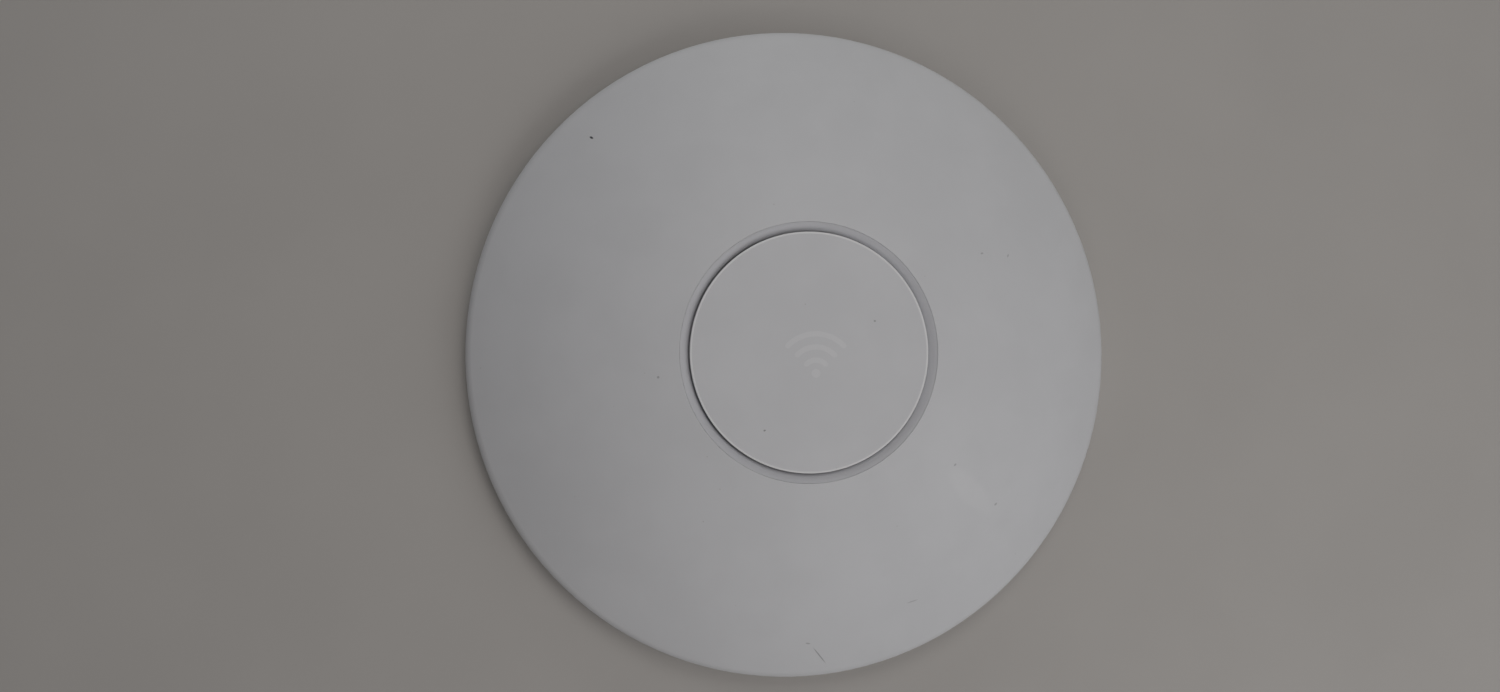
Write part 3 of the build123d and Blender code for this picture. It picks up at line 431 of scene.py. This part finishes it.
def stroke_rows(half_length, half_width):
    """Places along a stroke and its half width there, from one round end to the other."""
    turns = [math.pi / 2 * (step / ROUND_STEPS - 1) for step in range(ROUND_STEPS)]
    end = [(half_width * math.sin(turn) - half_length, half_width * math.cos(turn)) for turn in turns]
    long_steps = round(half_length / INK_STEP)
    middle = [(0.0, half_width)]
    if long_steps > 0:
        middle = [(half_length * (step / long_steps - 1), half_width) for step in range(2 * long_steps + 1)]
    return end + middle + [(-along, width) for along, width in reversed(end)]


def ink_stroke(builder, cap_tree, radius, half_width, half_angle):
    """One printed arc with round ends, a thin closed skin that follows the crown. Radius 0 makes a dot."""
    grid = []
    for along, width in stroke_rows(radius * half_angle, half_width):
        line = []
        for step in range(ACROSS_STEPS + 1):
            out = radius + max(width, INK_TIP_HALF_WIDTH) * (2 * step / ACROSS_STEPS - 1)
            if radius > 0:
                turn = along / radius
                x, y = out * math.sin(turn), out * math.cos(turn)
            else:
                x, y = along, out
            x += MARK_MIDDLE[0]
            y += MARK_MIDDLE[1]
            ground = cap_tree.ray_cast(Vector((x, y, 1.0)), Vector((0, 0, -1)))[0].z
            line.append((x, y, ground))
        grid.append(line)
    skins = []
    for lift in (INK_HEIGHT, -INK_HEIGHT):
        skins.append([[builder.verts.new((x, y, z + lift)) for x, y, z in line] for line in grid])
    last_row = len(grid) - 1
    for skin in skins:
        for line, following in zip(skin, skin[1:]):
            for step in range(ACROSS_STEPS):
                builder.faces.new((line[step], line[step + 1], following[step + 1], following[step]))
    top, under = skins
    for row in range(last_row):
        for side in (0, ACROSS_STEPS):
            builder.faces.new((top[row][side], top[row + 1][side], under[row + 1][side], under[row][side]))
    for step in range(ACROSS_STEPS):
        for row in (0, last_row):
            builder.faces.new((top[row][step], top[row][step + 1], under[row][step + 1], under[row][step]))


def signal_mark():
    """Three arcs over a dot, in ink hardly lighter than the cap."""
    cap_tree = ray_tree(["centre_cap"])
    builder = bmesh.new()
    ink_stroke(builder, cap_tree, 0.0, MARK_DOT_RADIUS, 0.0)
    for radius in MARK_RADII:
        ink_stroke(builder, cap_tree, radius, MARK_HALF_WIDTH, MARK_HALF_ANGLE)
    paint = moulded_plastic("mark_ink", (0.775, 0.782, 0.797), 0.42, depth=0.002 * MM, tone=0.012)
    new_piece("signal_mark", mesh_from("signal_mark", builder), paint)


signal_mark()


# ------------------------------------------------------------------ small surface parts on the board
COVERS = ("main_board", "dome_cover", "centre_cap", "light_ring")
ROW_TRIES = 900
LONGEST_ROW = 6
ROW_GAP = 0.45 * MM
BOARD_EDGE_MARGIN = 0.8 * MM
PART_MARGIN = 0.5 * MM
OPEN_OVER_BOARD = 50 * MM
OPEN_UNDER_BOARD = 1.5 * MM
LOOK_START = 0.2 * MM
LOOK_DEPTH = 0.4 * MM
LOOK_ROUND = 0.3 * MM
BODY_LIFT = 0.01 * MM
BODY_SKIN = 0.02 * MM
END_SHARE = 0.24
FILLET = 0.35 * MM
FILLET_RISE = 0.55
UPPER, LOWER = 1, -1
FACE_LOTTERY = (UPPER, UPPER, UPPER, LOWER)
EDGE_ROUNDING = 0.04 * MM
draw = random.Random(11)
board_low, board_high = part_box("main_board")
board_tree = ray_tree(["main_board"])
parts_tree = ray_tree([name for name in nodes if name not in COVERS])

# Kind: length, width and height in mm, colour, share of the rows.
CHIP_KINDS = {
    "chip_resistors": (1.6, 0.8, 0.45, (0.020, 0.020, 0.024), 4),
    "chip_capacitors": (1.6, 0.8, 0.80, (0.290, 0.190, 0.110), 3),
    "small_capacitors": (1.0, 0.5, 0.50, (0.330, 0.230, 0.140), 5),
    "bulk_capacitors": (3.2, 1.6, 1.30, (0.240, 0.155, 0.090), 1),
}


def is_free(x, y, reach, face, up, placed):
    """True where the board is whole and nothing stands within reach, over or beside a place."""
    if math.hypot(x, y) + reach > board_high.x - BOARD_EDGE_MARGIN:
        return False
    open_height = OPEN_OVER_BOARD if up > 0 else OPEN_UNDER_BOARD
    for dx in (-reach, 0.0, reach):
        for dy in (-reach, 0.0, reach):
            start = Vector((x + dx, y + dy, face + up * LOOK_START))
            if board_tree.ray_cast(start, Vector((0, 0, -up)), LOOK_DEPTH)[0] is None:
                return False
            if parts_tree.ray_cast(start, Vector((0, 0, up)), open_height)[0] is not None:
                return False
    middle = Vector((x, y, face + up * LOOK_ROUND))
    if parts_tree.find_nearest(middle, reach + PART_MARGIN)[0] is not None:
        return False
    return all(math.hypot(x - px, y - py) > reach + other for px, py, other, side in placed if side == up)


def add_prism(builder, outline, half_width, where, material_index):
    """A prism across a small part: its outline runs along and up, and where turns that into place."""
    near, far = (
        [builder.verts.new(where @ Vector((along, across, height))) for along, height in outline]
        for across in (-half_width, half_width)
    )
    rings = [near, far]
    for corner in range(len(outline)):
        rings.append((near[corner - 1], near[corner], far[corner], far[corner - 1]))
    for ring in rings:
        builder.faces.new(ring).material_index = material_index


def add_chip(builder, kind, where):
    """Body, two plated ends and their solder fillets, in the part's own place."""
    length, width, height = (size * MM for size in CHIP_KINDS[kind][:3])
    half = length / 2
    end = half - length * END_SHARE
    roof = height - BODY_SKIN
    body = [(-end, BODY_LIFT), (end, BODY_LIFT), (end, roof), (-end, roof)]
    add_prism(builder, body, width / 2 - BODY_SKIN, where, 0)
    for side in (-1, 1):
        cap = [(side * end, 0.0), (side * half, 0.0), (side * half, height), (side * end, height)]
        add_prism(builder, cap, width / 2, where, 1)
        fillet = [(side * half, 0.0), (side * (half + FILLET), 0.0), (side * half, height * FILLET_RISE)]
        add_prism(builder, fillet, width / 2 - BODY_SKIN, where, 1)


def board_chips():
    """Rows of chip resistors and capacitors, some beside each other and some alone, on both faces."""
    solder = sheet_metal("solder", (0.62, 0.62, 0.60), 0.34, streak=0.3 * MM)
    lottery = [kind for kind, (*_, share) in CHIP_KINDS.items() for _ in range(share)]
    builders = {kind: bmesh.new() for kind in CHIP_KINDS}
    placed = []
    for _ in range(ROW_TRIES):
        kind = draw.choice(lottery)
        length, width = (size * MM for size in CHIP_KINDS[kind][:2])
        up = draw.choice(FACE_LOTTERY)
        face = board_high.z if up > 0 else board_low.z
        reach = length / 2 + FILLET
        distance = board_high.x * math.sqrt(draw.random())
        bearing = draw.uniform(0.0, 2 * math.pi)
        x, y = distance * math.cos(bearing), distance * math.sin(bearing)
        turn = draw.choice((0.0, math.pi / 2))
        turned = Matrix.Rotation(turn, 4, "Z") @ Matrix.Rotation(math.pi if up < 0 else 0.0, 4, "X")
        row = []
        for step in range(draw.randint(1, LONGEST_ROW)):
            offset = step * (width + ROW_GAP)
            px, py = x - offset * math.sin(turn), y + offset * math.cos(turn)
            if not is_free(px, py, reach, face, up, placed):
                break
            add_chip(builders[kind], kind, Matrix.Translation((px, py, face)) @ turned)
            row.append((px, py, reach, up))
        placed.extend(row)
    for kind, builder in builders.items():
        body_paint = chip_black(kind + "_body", CHIP_KINDS[kind][3])
        piece = new_piece(kind, mesh_from(kind, builder), body_paint)
        piece.data.materials.append(solder.material)
        edges = piece.modifiers.new("edges", "BEVEL")
        edges.width = EDGE_ROUNDING


board_chips()


# ------------------------------------------------------------------ floor
def stage_floor():
    """Plain pale floor under the object."""
    half_side = 3.0
    squares = 24
    clearance = 0.05 * MM
    mesh = bpy.data.meshes.new("floor")
    builder = bmesh.new()
    bmesh.ops.create_grid(builder, x_segments=squares, y_segments=squares, size=half_side)
    builder.to_mesh(mesh)
    builder.free()
    floor = bpy.data.objects.new("floor", mesh)
    bpy.context.scene.collection.objects.link(floor)
    floor.location.z = cad_box[0].z - clearance
    paint = Paint("floor_paint", Specular_IOR_Level=0.3)
    paint.wire("Base Color", paint.tint((0.52, 0.50, 0.475), 0.985, 1.015, paint.noise(60 * MM)))
    paint.wire("Roughness", paint.spread(paint.noise(40 * MM), 0.65, 0.75))
    mesh.materials.append(paint.material)


stage_floor()


# ------------------------------------------------------------------ camera and light
# The camera's place in metres, its turns about X, Y and Z in degrees, its lens and sensor in mm.
CAMERA_PLACE = (-0.0569, -0.0036, 0.3469)
CAMERA_TURNS = (0.97, -7.22, 0.0)
CAMERA_LENS = 27.06
SENSOR_WIDTH = 36.0
NEAREST_SHOWN = 5 * MM


def add_camera():
    """Looks down on the object from a little left of its middle."""
    data = bpy.data.cameras.new("camera")
    data.sensor_width = SENSOR_WIDTH
    data.lens = CAMERA_LENS
    data.clip_start = NEAREST_SHOWN
    camera = bpy.data.objects.new("camera", data)
    camera.location = CAMERA_PLACE
    camera.rotation_euler = [math.radians(turn) for turn in CAMERA_TURNS]
    bpy.context.scene.collection.objects.link(camera)
    bpy.context.scene.camera = camera


def add_softbox(place, side, power, colour):
    """A square soft light at a place, turned to the object."""
    data = bpy.data.lights.new("softbox", "AREA")
    data.shape = "SQUARE"
    data.size = side
    data.energy = power
    data.color = colour
    light = bpy.data.objects.new("softbox", data)
    light.location = place
    light.rotation_euler = (-Vector(place)).to_track_quat("-Z", "Y").to_euler()
    light.visible_camera = False
    bpy.context.scene.collection.objects.link(light)


def add_world(strength):
    """Even white light from all round."""
    world = bpy.data.worlds.new("studio")
    world.use_nodes = True
    background = world.node_tree.nodes["Background"]
    background.inputs["Color"].default_value = rgba((1.0, 1.0, 1.0))
    background.inputs["Strength"].default_value = strength
    bpy.context.scene.world = world


# Soft lights: place and side in metres, power in watts, colour. The first two hang high over the middle and
# the back, two stand at the front and the front right, and two low ones fill in from the back.
SOFTBOXES = [
    ((0.233, 0.000, 0.869), 0.40, 0.66, (1.00, 0.90, 0.88)),
    ((0.000, 0.516, 0.737), 0.40, 1.04, (1.00, 0.99, 0.98)),
    ((0.000, -0.737, 0.516), 0.40, 0.79, (1.00, 0.97, 0.96)),
    ((0.450, -0.350, 0.450), 0.55, 0.98, (0.96, 0.98, 1.00)),
    ((0.000, 0.869, 0.233), 0.40, 0.81, (0.98, 1.00, 0.98)),
    ((-0.615, 0.615, 0.233), 0.40, 0.18, (0.75, 0.80, 1.00)),
]

EVEN_LIGHT = 0.08

add_camera()
for softbox in SOFTBOXES:
    add_softbox(*softbox)
add_world(EVEN_LIGHT)
bpy.context.scene.view_settings.view_transform = "Standard"
